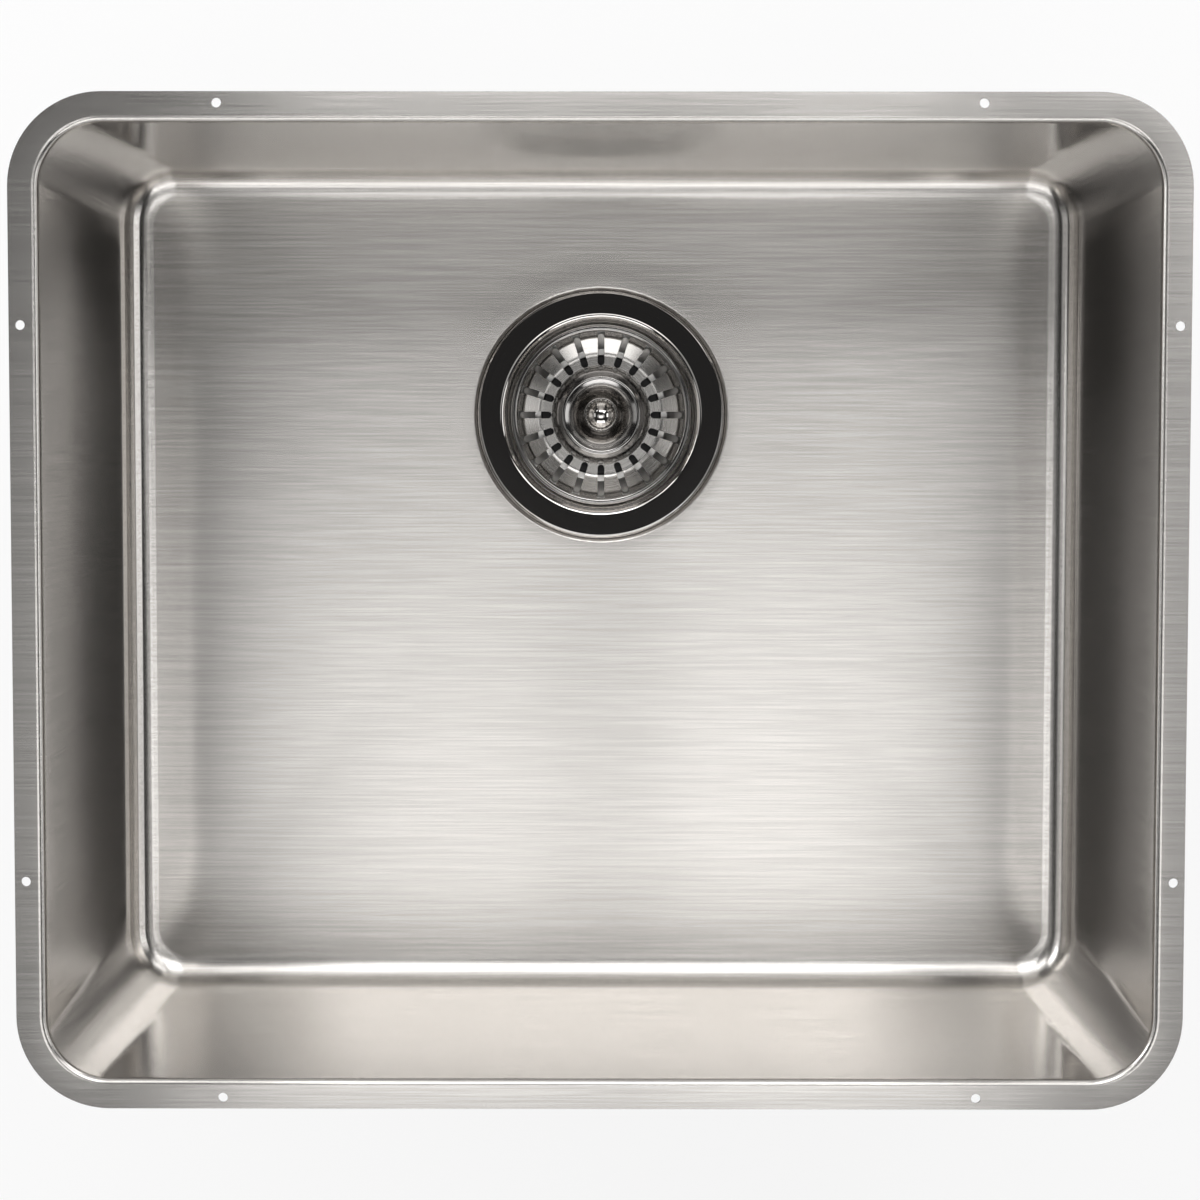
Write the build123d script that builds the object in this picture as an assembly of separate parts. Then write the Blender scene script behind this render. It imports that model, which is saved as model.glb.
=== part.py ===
from build123d import *
import os

# Single-bowl undermount kitchen sink with a lift-out basket strainer, in millimetres.
# +X is to the right, +Y to the rear (the drain side), +Z up.
# The origin is the centre of the bowl opening, level with the top face of the rim.

# ---- bowl: one sheet, pressed and folded ----
BOWL_WIDTH = 440.0              # inside, left to right
BOWL_LENGTH = 378.0             # inside, front to rear
BOWL_DEPTH = 200.0              # rim top to floor
BOWL_SHEET = 1.2
CORNER_RADIUS = 25.0            # upright corners, inside
FLOOR_BEND_RADIUS = 13.0        # walls to floor, inside
RIM_WIDTH = 12.0                # wall face to the rim's outer edge
RIM_BEND_RADIUS = 1.6           # underside of the fold between rim and wall

# ---- punched fixing holes in the rim ----
RIM_HOLE_RADIUS = 1.9
RIM_HOLE_EDGE = 4.4             # outer edge to hole centre
LONG_SIDE_HOLE_SPACING = 300.0  # along the front and rear rims
SHORT_SIDE_HOLE_SPACING = 220.0  # along the left and right rims

# ---- drain recess in the floor ----
DRAIN_FROM_CENTRE = 77.0        # towards the rear
DRAIN_HOLE_RADIUS = 46.4
RECESS_DEPTH = 2.4
RECESS_GAP = 1.2                # strainer flange to the foot of the recess slope
RECESS_SLOPE = 2.6              # horizontal run of the slope up to the floor
RECESS_EDGE_RADIUS = 1.2

# ---- sound-damping pads ----
PAD_THICKNESS = 3.0
PAD_CORNER = 6.0
SIDE_PAD_WIDTH = 100.0          # floor pads left and right of the drain
SIDE_PAD_LENGTH = 170.0
FRONT_PAD_WIDTH = 330.0
FRONT_PAD_LENGTH = 120.0
PAD_SPACING = 14.0              # between floor pads, and out from the drain recess
WALL_PAD_HEIGHT = 95.0
WALL_PAD_DROP = 50.0            # rim top to the pad's upper edge
WALL_PAD_END_MARGIN = 75.0      # wall end to pad end

# ---- strainer cup ----
FLANGE_RADIUS = 56.75           # 113.5 mm across
CUP_SHEET = 0.8
FLANGE_EDGE_DROP = 1.3          # turned-down outer edge
FLANGE_EDGE_RADIUS = 1.0
FLANGE_SEAL_THICKNESS = 1.0
FLANGE_SEAL_SETBACK = 2.4       # funnel mouth to the seal's bore
MOUTH_RADIUS = 45.6             # where the flange plane meets the funnel
MOUTH_EDGE_RADIUS = 2.4
THROAT_RADIUS = 42.4
THROAT_DEPTH = 6.6              # below the flange top
CUP_WALL_DEPTH = 20.0
CUP_WALL_TAPER = 0.5            # how much narrower the wall's foot is
CUP_CORNER_RADIUS = 6.0
SEAT_DEPTH = 28.0
SEAT_OUTER_RADIUS = 31.5
SEAT_INNER_RADIUS = 25.5
SEAT_EDGE_RADIUS = 1.4
HUB_DEPTH = 38.0
HUB_RADIUS = 24.0
DRAIN_SLOT_COUNT = 6
DRAIN_SLOT_WIDTH = 8.0
DRAIN_SLOT_PITCH_RADIUS = 15.5
DRAIN_SLOT_SWEEP = 26.0         # degrees between the centres of a slot's round ends

# ---- basket ----
BASKET_SHEET = 0.7
BASKET_GAP = 0.9                # rim to the cup's throat, all round
BASKET_RIM_DEPTH = 3.4          # rim top below the flange top
RIM_ROLL_WIDTH = 1.9
RIM_ROLL_DROP = 1.7
RIM_ROLL_RADIUS = 0.85
BASKET_WALL_HEIGHT = 13.5
BASKET_WALL_TAPER = 2.1
BASKET_FLOOR_DROP = 4.0         # cone from the wall's foot to the flat floor
BASKET_CORNER_RADIUS = 2.6
BASKET_FLAT_RADIUS = 29.0       # outer limit of the flat floor
BASKET_FLAT_BLEND = 6.0
BOSS_FOOT_RADIUS = 22.8
BOSS_SHOULDER_RADIUS = 21.4
BOSS_SHOULDER_HEIGHT = 4.4
BOSS_SHOULDER_FILLET = 4.0
BOSS_RIDGE_RADIUS = 17.6
BOSS_HEIGHT = 6.5
BOSS_FOOT_FILLET = 0.6
BOSS_RIDGE_FILLET = 1.3
DISH_DEPTH = 3.6
DISH_FLAT_RADIUS = 8.6
DISH_BLEND = 7.0
SLOT_COUNT = 20
SLOT_WIDTH = 3.2
SLOT_INNER_RADIUS = 23.4
SLOT_OUTER_RADIUS = 38.0

# ---- knob, stem and seal stack ----
STEM_RADIUS = 3.0
STEM_CLEARANCE = 0.05           # stem in the pieces threaded on it
SHELL_HOLE_CLEARANCE = 0.2      # stem in the basket's centre hole
COLLAR_RADIUS = 6.2
COLLAR_THICKNESS = 1.0
KNOB_RADIUS = 8.0
KNOB_NECK_RADIUS = 4.6
KNOB_NECK_HEIGHT = 1.0
KNOB_CROWN_RADIUS = 3.0         # small flat crown on top of the ball
KNOB_THREAD_DEPTH = 8.0
SLEEVE_RADIUS = 5.0
TOP_PLATE_RADIUS = 15.0
TOP_PLATE_THICKNESS = 1.0
SEAL_RADIUS = 28.4
SEAL_THICKNESS = 3.0
SEAL_LIP = 1.0                  # chamfer round the rubber's upper edge
SEAT_CLEARANCE = 0.3            # rubber above the cup's seat
BOTTOM_WASHER_RADIUS = 9.0
BOTTOM_WASHER_THICKNESS = 1.0
NUT_ACROSS_FLATS = 10.0
NUT_HEIGHT = 3.2

# ---- centre screw and the peg that plugs into it ----
SCREW_RADIUS = 3.0
SCREW_LENGTH = 24.0             # shank under the head
SCREW_HOLE_CLEARANCE = 0.3
HEAD_RADIUS = 6.5
HEAD_HEIGHT = 5.6
SOCKET_RADIUS = 3.8
SOCKET_DEPTH = 4.9
SCREW_SLOT_WIDTH = 1.6          # screwdriver slot across the hollow head
SCREW_SLOT_DEPTH = 1.4
PEG_END_GAP = 0.4               # peg end above the socket's floor
GROOVE_RADIUS = 2.2
GROOVE_WIDTH = 2.6
GROOVE_FROM_END = 0.9
PEG_CHAMFER = 0.45
RUNNING_CLEARANCE = 0.08        # catch ring on the peg and in the socket
RING_END_CLEARANCE = 0.1        # catch ring between the groove's shoulders
RING_EDGE_RADIUS = 0.6

# ---- waste body under the bowl ----
GASKET_INNER_GAP = 0.4          # drain hole to gasket bore
GASKET_OUTER_RADIUS = 54.0
GASKET_THICKNESS = 3.0
BODY_FLANGE_RADIUS = 54.6
BODY_FLANGE_THICKNESS = 4.0
BODY_WALL = 2.9
BODY_BORE_GAP = 2.2             # cup throat to the body's bore
BODY_BARREL_DEPTH = 21.0        # below the flange top, where the funnel starts
BODY_FUNNEL_DEPTH = 52.0        # where the funnel meets the spigot
SPIGOT_RADIUS = 23.9            # outside of a 1 1/2 inch pipe thread
SPIGOT_BORE_RADIUS = 20.5
SPIGOT_COLLAR_RADIUS = 27.0
SPIGOT_COLLAR_HEIGHT = 5.0
OUTLET_DEPTH = 96.0             # spigot end below the flange top
BOSS_RADIUS = 9.0
BOSS_LENGTH = 27.0
SPOKE_COUNT = 3
SPOKE_THICKNESS = 3.0
SPOKE_TOP_GAP = 4.0             # boss top to spoke top
GUSSET_COUNT = 8
GUSSET_THICKNESS = 2.6
GUSSET_DEPTH = 22.0
GUSSET_TIP_DEPTH = 2.0          # under the flange's edge
GUSSET_SETBACK = 1.0            # flange edge to gusset tip
GUSSET_ROOT = 1.0               # how far the gussets reach into the wall
INSERT_RADIUS = 5.4
INSERT_LENGTH = 14.0
INSERT_SETBACK = 3.0            # boss top to the insert
INSERT_CLEARANCE = 0.05

# ---- levels worked out from the sizes above ----
floor_z = -BOWL_DEPTH
recess_z = floor_z - RECESS_DEPTH
recess_under_z = recess_z - BOWL_SHEET
flange_z = recess_z + FLANGE_SEAL_THICKNESS + CUP_SHEET
hub_z = flange_z - HUB_DEPTH
seat_z = flange_z - SEAT_DEPTH
basket_rim_z = flange_z - BASKET_RIM_DEPTH
basket_wall_foot_z = basket_rim_z - BASKET_WALL_HEIGHT
basket_floor_z = basket_wall_foot_z - BASKET_FLOOR_DROP
dish_z = basket_floor_z + BOSS_HEIGHT - DISH_DEPTH
knob_z = dish_z + COLLAR_THICKNESS
seal_z = seat_z + SEAT_CLEARANCE
seal_top_z = seal_z + SEAL_THICKNESS
top_plate_z = seal_top_z + TOP_PLATE_THICKNESS
bottom_washer_z = seal_z - BOTTOM_WASHER_THICKNESS
nut_z = bottom_washer_z - NUT_HEIGHT
head_top_z = hub_z + HEAD_HEIGHT
socket_floor_z = head_top_z - SOCKET_DEPTH
peg_end_z = socket_floor_z + PEG_END_GAP
groove_z = peg_end_z + GROOVE_FROM_END
gasket_z = recess_under_z - GASKET_THICKNESS
boss_top_z = hub_z - CUP_SHEET
outlet_z = flange_z - OUTLET_DEPTH
barrel_z = flange_z - BODY_BARREL_DEPTH
funnel_z = flange_z - BODY_FUNNEL_DEPTH

# ---- radii worked out from the sizes above ----
basket_radius = THROAT_RADIUS - BASKET_GAP
recess_radius = FLANGE_RADIUS + RECESS_GAP
body_bore_radius = THROAT_RADIUS + BODY_BORE_GAP
shell_hole_radius = STEM_RADIUS + SHELL_HOLE_CLEARANCE
threaded_hole_radius = STEM_RADIUS + STEM_CLEARANCE
screw_hole_radius = SCREW_RADIUS + SCREW_HOLE_CLEARANCE

drain = Location((0, DRAIN_FROM_CENTRE, 0))


def rounded_block(width, length, radius, bottom, top):
    """Upright block with rounded corners, centred on the origin in plan."""
    plan = Plane.XY.offset(bottom) * RectangleRounded(width, length, radius)
    return extrude(plan, top - bottom)


def ring(inner, outer, bottom, top):
    """Flat ring on the drain axis; an inner radius of 0 gives a disc."""
    plan = Plane.XY.offset(bottom) * Circle(outer)
    if inner:
        plan -= Plane.XY.offset(bottom) * Circle(inner)
    return extrude(plan, top - bottom)


def turned(points, radii=None):
    """Solid of revolution about the drain axis from a closed (radius, height) outline."""
    corners = [(r, 0, z) for r, z in points]
    if radii:
        outline = FilletPolyline(*corners, radius=radii, close=True)
    else:
        outline = Polyline(*corners, close=True)
    return revolve(make_face(outline), Axis.Z)


def turned_sheet(points, radii, thickness):
    """Turned sheet of even thickness; the (radius, height) points follow its upper face."""
    path = Wire(FilletPolyline(*[(r, 0, z) for r, z in points], radius=radii).edges())
    return revolve(make_face(offset(path, amount=thickness, side=Side.RIGHT, closed=True)), Axis.Z)


def make_bowl():
    """Pressed bowl with its rim, the drain recess and the punched holes."""
    rim_radius = CORNER_RADIUS + RIM_WIDTH
    skin = rounded_block(BOWL_WIDTH + 2 * BOWL_SHEET, BOWL_LENGTH + 2 * BOWL_SHEET,
                         CORNER_RADIUS + BOWL_SHEET, floor_z - BOWL_SHEET, -BOWL_SHEET)
    skin = fillet(skin.faces().sort_by(Axis.Z)[0].edges(), FLOOR_BEND_RADIUS + BOWL_SHEET)
    skin += rounded_block(BOWL_WIDTH + 2 * RIM_WIDTH, BOWL_LENGTH + 2 * RIM_WIDTH,
                          rim_radius, -BOWL_SHEET, 0)
    rim_underside = skin.faces().filter_by_position(Axis.Z, -BOWL_SHEET, -BOWL_SHEET)[0]
    skin = fillet(rim_underside.inner_wires()[0].edges(), RIM_BEND_RADIUS)
    skin += drain * turned([(0, floor_z - BOWL_SHEET / 2),
                            (recess_radius + RECESS_SLOPE + BOWL_SHEET, floor_z - BOWL_SHEET / 2),
                            (recess_radius + RECESS_SLOPE + BOWL_SHEET, floor_z - BOWL_SHEET),
                            (recess_radius + BOWL_SHEET, recess_under_z),
                            (0, recess_under_z)])

    cavity = rounded_block(BOWL_WIDTH, BOWL_LENGTH, CORNER_RADIUS, floor_z, 0)
    cavity = fillet(cavity.faces().sort_by(Axis.Z)[0].edges(), FLOOR_BEND_RADIUS)
    bowl = skin - cavity
    rim_top = bowl.faces().filter_by_position(Axis.Z, 0, 0)[0]
    bowl = fillet(rim_top.inner_wires()[0].edges(), RIM_BEND_RADIUS + BOWL_SHEET)

    recess = turned([(0, recess_z), (recess_radius, recess_z),
                     (recess_radius + RECESS_SLOPE, floor_z), (0, floor_z)])
    bowl -= drain * recess
    recess_edges = [edge for edge in bowl.edges().filter_by(GeomType.CIRCLE)
                    if edge.radius > FLANGE_RADIUS and edge.center().Z > recess_z - RECESS_DEPTH / 4]
    bowl = fillet(recess_edges, RECESS_EDGE_RADIUS)
    bowl -= drain * ring(0, DRAIN_HOLE_RADIUS, recess_under_z - BOWL_SHEET, floor_z)

    hole_x = BOWL_WIDTH / 2 + RIM_WIDTH - RIM_HOLE_EDGE
    hole_y = BOWL_LENGTH / 2 + RIM_WIDTH - RIM_HOLE_EDGE
    places = [(sx * LONG_SIDE_HOLE_SPACING / 2, sy * hole_y) for sx in (-1, 1) for sy in (-1, 1)]
    places += [(sx * hole_x, sy * SHORT_SIDE_HOLE_SPACING / 2) for sx in (-1, 1) for sy in (-1, 1)]
    holes = Locations([(x, y, -BOWL_SHEET / 2) for x, y in places])
    for place in holes:
        bowl -= place * Cylinder(RIM_HOLE_RADIUS, 3 * BOWL_SHEET)
    return bowl


def make_pads():
    """Rubber pads glued to the underside of the floor and the outside of the walls."""
    under = floor_z - BOWL_SHEET
    bump = recess_radius + RECESS_SLOPE + BOWL_SHEET
    side_x = bump + PAD_SPACING + SIDE_PAD_WIDTH / 2
    side_pad = rounded_block(SIDE_PAD_WIDTH, SIDE_PAD_LENGTH, PAD_CORNER,
                             under - PAD_THICKNESS, under)
    front_y = DRAIN_FROM_CENTRE - SIDE_PAD_LENGTH / 2 - PAD_SPACING - FRONT_PAD_LENGTH / 2
    front_pad = rounded_block(FRONT_PAD_WIDTH, FRONT_PAD_LENGTH, PAD_CORNER,
                              under - PAD_THICKNESS, under)
    pads = {
        "floor_pad_left": Pos(-side_x, DRAIN_FROM_CENTRE, 0) * side_pad,
        "floor_pad_right": Pos(side_x, DRAIN_FROM_CENTRE, 0) * side_pad,
        "floor_pad_front": Pos(0, front_y, 0) * front_pad,
    }
    middle_z = -WALL_PAD_DROP - WALL_PAD_HEIGHT / 2
    side_wall = RectangleRounded(BOWL_LENGTH - 2 * WALL_PAD_END_MARGIN, WALL_PAD_HEIGHT, PAD_CORNER)
    end_wall = RectangleRounded(BOWL_WIDTH - 2 * WALL_PAD_END_MARGIN, WALL_PAD_HEIGHT, PAD_CORNER)
    side_face = BOWL_WIDTH / 2 + BOWL_SHEET
    end_face = BOWL_LENGTH / 2 + BOWL_SHEET
    walls = {
        "wall_pad_left": (side_wall, (-side_face, 0, middle_z), (-1, 0, 0), (0, 1, 0)),
        "wall_pad_right": (side_wall, (side_face, 0, middle_z), (1, 0, 0), (0, 1, 0)),
        "wall_pad_front": (end_wall, (0, -end_face, middle_z), (0, -1, 0), (1, 0, 0)),
        "wall_pad_rear": (end_wall, (0, end_face, middle_z), (0, 1, 0), (1, 0, 0)),
    }
    for name, (outline, origin, outward, along) in walls.items():
        face = Plane(origin=origin, x_dir=along, z_dir=outward)
        pads[name] = extrude(face * outline, PAD_THICKNESS)
    return pads


def make_strainer_cup():
    """Pressed cup: dark flange, funnel mouth, seat for the rubber and a slotted hub."""
    cup = turned_sheet(
        [(FLANGE_RADIUS, flange_z - FLANGE_EDGE_DROP), (FLANGE_RADIUS, flange_z),
         (MOUTH_RADIUS, flange_z), (THROAT_RADIUS, flange_z - THROAT_DEPTH),
         (THROAT_RADIUS - CUP_WALL_TAPER, flange_z - CUP_WALL_DEPTH),
         (SEAT_OUTER_RADIUS, seat_z), (SEAT_INNER_RADIUS, seat_z),
         (HUB_RADIUS, hub_z), (screw_hole_radius, hub_z)],
        [FLANGE_EDGE_RADIUS, MOUTH_EDGE_RADIUS, MOUTH_EDGE_RADIUS, CUP_CORNER_RADIUS,
         SEAT_EDGE_RADIUS, SEAT_EDGE_RADIUS, SEAT_EDGE_RADIUS],
        CUP_SHEET)
    sweep = CenterArc((0, 0), DRAIN_SLOT_PITCH_RADIUS, -DRAIN_SLOT_SWEEP / 2, DRAIN_SLOT_SWEEP)
    slot = Plane.XY.offset(hub_z - 2 * CUP_SHEET) * SlotArc(sweep, DRAIN_SLOT_WIDTH)
    cutter = extrude(slot, 4 * CUP_SHEET)
    for index in range(DRAIN_SLOT_COUNT):
        cup -= Rot(0, 0, index * 360 / DRAIN_SLOT_COUNT) * cutter
    return cup


def make_basket_shell():
    """Pressed basket: rolled rim, raised and dished centre, and the ring of radial slots."""
    wall_top = basket_radius - RIM_ROLL_WIDTH
    shell = turned_sheet(
        [(basket_radius, basket_rim_z - RIM_ROLL_DROP), (basket_radius, basket_rim_z),
         (wall_top, basket_rim_z), (wall_top - BASKET_WALL_TAPER, basket_wall_foot_z),
         (BASKET_FLAT_RADIUS, basket_floor_z), (BOSS_FOOT_RADIUS, basket_floor_z),
         (BOSS_SHOULDER_RADIUS, basket_floor_z + BOSS_SHOULDER_HEIGHT),
         (BOSS_RIDGE_RADIUS, basket_floor_z + BOSS_HEIGHT), (DISH_FLAT_RADIUS, dish_z),
         (shell_hole_radius, dish_z)],
        [RIM_ROLL_RADIUS, RIM_ROLL_RADIUS, BASKET_CORNER_RADIUS, BASKET_FLAT_BLEND,
         BOSS_FOOT_FILLET, BOSS_SHOULDER_FILLET, BOSS_RIDGE_FILLET, DISH_BLEND],
        BASKET_SHEET)
    slot_span = SLOT_OUTER_RADIUS - SLOT_INNER_RADIUS
    slot = Pos((SLOT_OUTER_RADIUS + SLOT_INNER_RADIUS) / 2, 0) * SlotOverall(slot_span, SLOT_WIDTH)
    cutter_foot = basket_floor_z - 2 * BASKET_SHEET
    cutter = extrude(Plane.XY.offset(cutter_foot) * slot, basket_rim_z - RIM_ROLL_DROP - cutter_foot)
    for index in range(SLOT_COUNT):
        shell -= Rot(0, 0, 90 + index * 360 / SLOT_COUNT) * cutter
    return shell


def make_knob():
    """Ball knob with a short neck, a small flat crown and a blind threaded hole."""
    neck_top = knob_z + KNOB_NECK_HEIGHT
    ball_centre = neck_top + (KNOB_RADIUS ** 2 - KNOB_NECK_RADIUS ** 2) ** 0.5
    crown_z = ball_centre + (KNOB_RADIUS ** 2 - KNOB_CROWN_RADIUS ** 2) ** 0.5
    outline = Polyline((0, 0, crown_z), (0, 0, knob_z), (KNOB_NECK_RADIUS, 0, knob_z),
                       (KNOB_NECK_RADIUS, 0, neck_top))
    outline += ThreePointArc((KNOB_NECK_RADIUS, 0, neck_top), (KNOB_RADIUS, 0, ball_centre),
                             (KNOB_CROWN_RADIUS, 0, crown_z))
    outline += Line((KNOB_CROWN_RADIUS, 0, crown_z), (0, 0, crown_z))
    knob = revolve(make_face(outline), Axis.Z)
    return knob - ring(0, threaded_hole_radius, knob_z, knob_z + KNOB_THREAD_DEPTH)


def make_stem():
    """Rod from the knob to the peg, with the groove for the catch ring."""
    stem = ring(0, STEM_RADIUS, peg_end_z, knob_z + KNOB_THREAD_DEPTH - STEM_CLEARANCE)
    stem = chamfer(stem.faces().sort_by(Axis.Z)[0].edges(), PEG_CHAMFER)
    return stem - ring(GROOVE_RADIUS, 2 * STEM_RADIUS, groove_z, groove_z + GROOVE_WIDTH)


def make_seal_disc():
    """Rubber disc that closes on the cup's seat."""
    disc = ring(threaded_hole_radius, SEAL_RADIUS, seal_z, seal_top_z)
    rim_edge = disc.edges().filter_by_position(Axis.Z, seal_top_z, seal_top_z).sort_by(SortBy.LENGTH)[-1]
    return chamfer(rim_edge, SEAL_LIP)


def make_stem_nut():
    """Thin hexagon nut under the seal stack."""
    plan = Plane.XY.offset(nut_z) * RegularPolygon(NUT_ACROSS_FLATS / 2, 6, major_radius=False)
    nut = extrude(plan, NUT_HEIGHT)
    return nut - ring(0, threaded_hole_radius, nut_z, bottom_washer_z)


def make_catch_ring():
    """Barrel-shaped ring in the peg's groove that grips the screw's socket."""
    bottom = groove_z + RING_END_CLEARANCE
    top = groove_z + GROOVE_WIDTH - RING_END_CLEARANCE
    inner = GROOVE_RADIUS + RUNNING_CLEARANCE
    outer = SOCKET_RADIUS - RUNNING_CLEARANCE
    collar = ring(inner, outer, bottom, top)
    rims = [edge for edge in collar.edges().filter_by(GeomType.CIRCLE) if edge.radius > (inner + outer) / 2]
    return fillet(rims, RING_EDGE_RADIUS)


def make_clamp_screw():
    """Centre screw with a slotted, hollow head that is the peg's socket."""
    screw = ring(0, HEAD_RADIUS, hub_z, head_top_z)
    screw = fillet(screw.edges().filter_by_position(Axis.Z, head_top_z, head_top_z), RING_EDGE_RADIUS)
    screw += ring(0, SCREW_RADIUS, hub_z - SCREW_LENGTH, hub_z)
    screw -= ring(0, SOCKET_RADIUS, socket_floor_z, head_top_z)
    slot_z = head_top_z - SCREW_SLOT_DEPTH / 2
    return screw - Pos(0, 0, slot_z) * Box(3 * HEAD_RADIUS, SCREW_SLOT_WIDTH, SCREW_SLOT_DEPTH)


def make_waste_body():
    """Moulded funnel: gasket flange, barrel, cone and gussets."""
    flange_foot_z = gasket_z - BODY_FLANGE_THICKNESS
    barrel_radius = body_bore_radius + BODY_WALL
    bore = [(SPIGOT_BORE_RADIUS, funnel_z), (body_bore_radius, barrel_z), (body_bore_radius, gasket_z)]
    outside = [(BODY_FLANGE_RADIUS, gasket_z), (BODY_FLANGE_RADIUS, flange_foot_z),
               (barrel_radius, flange_foot_z), (barrel_radius, barrel_z), (SPIGOT_COLLAR_RADIUS, funnel_z)]
    body = turned(bore + outside)

    tip_radius = BODY_FLANGE_RADIUS - GUSSET_SETBACK
    gusset_side = Polyline((SPIGOT_COLLAR_RADIUS, 0, flange_foot_z), (tip_radius, 0, flange_foot_z),
                           (tip_radius, 0, flange_foot_z - GUSSET_TIP_DEPTH),
                           (SPIGOT_COLLAR_RADIUS, 0, flange_foot_z - GUSSET_DEPTH), close=True)
    gusset = extrude(make_face(gusset_side), GUSSET_THICKNESS / 2, both=True)
    root_radius = barrel_radius - GUSSET_ROOT
    inside = turned([(0, funnel_z), (SPIGOT_COLLAR_RADIUS - GUSSET_ROOT, funnel_z),
                     (root_radius, barrel_z), (root_radius, flange_foot_z), (0, flange_foot_z)])
    for index in range(GUSSET_COUNT):
        body += Rot(0, 0, (index + 0.5) * 360 / GUSSET_COUNT) * (gusset - inside)
    return body


def make_outlet_spigot():
    """Outlet of the waste body: collar and pipe."""
    collar_foot_z = funnel_z - SPIGOT_COLLAR_HEIGHT
    spigot = ring(SPIGOT_BORE_RADIUS, SPIGOT_COLLAR_RADIUS, collar_foot_z, funnel_z)
    return spigot + ring(SPIGOT_BORE_RADIUS, SPIGOT_RADIUS, outlet_z, collar_foot_z)


def make_screw_boss():
    """Boss in the middle of the waste body, with its spokes and the pocket for the brass insert."""
    boss_foot_z = boss_top_z - BOSS_LENGTH
    boss = ring(0, BOSS_RADIUS, boss_foot_z, boss_top_z)
    spoke_height = BOSS_LENGTH - SPOKE_TOP_GAP
    spoke_box = Pos(body_bore_radius / 2, 0, boss_foot_z + spoke_height / 2)
    spoke = spoke_box * Box(body_bore_radius, SPOKE_THICKNESS, spoke_height)
    bore = turned([(0, outlet_z), (SPIGOT_BORE_RADIUS, outlet_z), (SPIGOT_BORE_RADIUS, funnel_z),
                   (body_bore_radius, barrel_z), (0, barrel_z)])
    for index in range(SPOKE_COUNT):
        boss += (Rot(0, 0, 90 + index * 360 / SPOKE_COUNT) * spoke) & bore
    insert_top = boss_top_z - INSERT_SETBACK
    boss -= ring(0, screw_hole_radius, boss_foot_z, boss_top_z)
    boss -= ring(0, INSERT_RADIUS + INSERT_CLEARANCE, insert_top - INSERT_LENGTH, insert_top)
    return boss


def make_screw_insert():
    """Brass bush moulded into the boss."""
    top = boss_top_z - INSERT_SETBACK
    return ring(SCREW_RADIUS + INSERT_CLEARANCE, INSERT_RADIUS, top - INSERT_LENGTH, top)


def make_nodes():
    """Every piece by name; pieces on the drain axis are modelled at x = y = 0, then moved."""
    seal_bore = MOUTH_RADIUS + FLANGE_SEAL_SETBACK
    gasket_bore = DRAIN_HOLE_RADIUS + GASKET_INNER_GAP
    on_drain_axis = {
        "strainer_cup": make_strainer_cup(),
        "flange_seal": ring(seal_bore, FLANGE_RADIUS - 2 * CUP_SHEET, recess_z, flange_z - CUP_SHEET),
        "body_gasket": ring(gasket_bore, GASKET_OUTER_RADIUS, gasket_z, recess_under_z),
        "waste_body": make_waste_body(),
        "outlet_spigot": make_outlet_spigot(),
        "screw_boss": make_screw_boss(),
        "screw_insert": make_screw_insert(),
        "clamp_screw": make_clamp_screw(),
        "basket_shell": make_basket_shell(),
        "knob": make_knob(),
        "collar_washer": ring(threaded_hole_radius, COLLAR_RADIUS, dish_z, knob_z),
        "stem": make_stem(),
        "spacer_sleeve": ring(threaded_hole_radius, SLEEVE_RADIUS, top_plate_z, dish_z - BASKET_SHEET),
        "seal_top_plate": ring(threaded_hole_radius, TOP_PLATE_RADIUS, seal_top_z, top_plate_z),
        "seal_disc": make_seal_disc(),
        "seal_bottom_washer": ring(threaded_hole_radius, BOTTOM_WASHER_RADIUS, bottom_washer_z, seal_z),
        "stem_nut": make_stem_nut(),
        "catch_ring": make_catch_ring(),
    }
    nodes = {"bowl": make_bowl()}
    nodes.update(make_pads())
    nodes.update({name: drain * shape for name, shape in on_drain_axis.items()})
    return nodes


os.makedirs("parts", exist_ok=True)
for node_name, node_shape in make_nodes().items():
    node_shape.label = node_name
    export_step(node_shape, f"parts/{node_name}.step")
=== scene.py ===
"""Looks of an undermount kitchen sink with a lift-out basket strainer.

Each sub-assembly is a class with its own sizes, each finish a frozen dataclass. Lengths are metres in
the shared frame: +X right, +Y to the rear (the drain side), +Z up, origin in the plane of the rim.
"""
import logging
from dataclasses import dataclass, field
from enum import Enum
from math import acos, ceil, cos, hypot, pi, radians, sin, sqrt, tan
from typing import Any, Iterable, Sequence, Union

import bmesh
import bpy
from mathutils import Matrix, Vector


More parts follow.
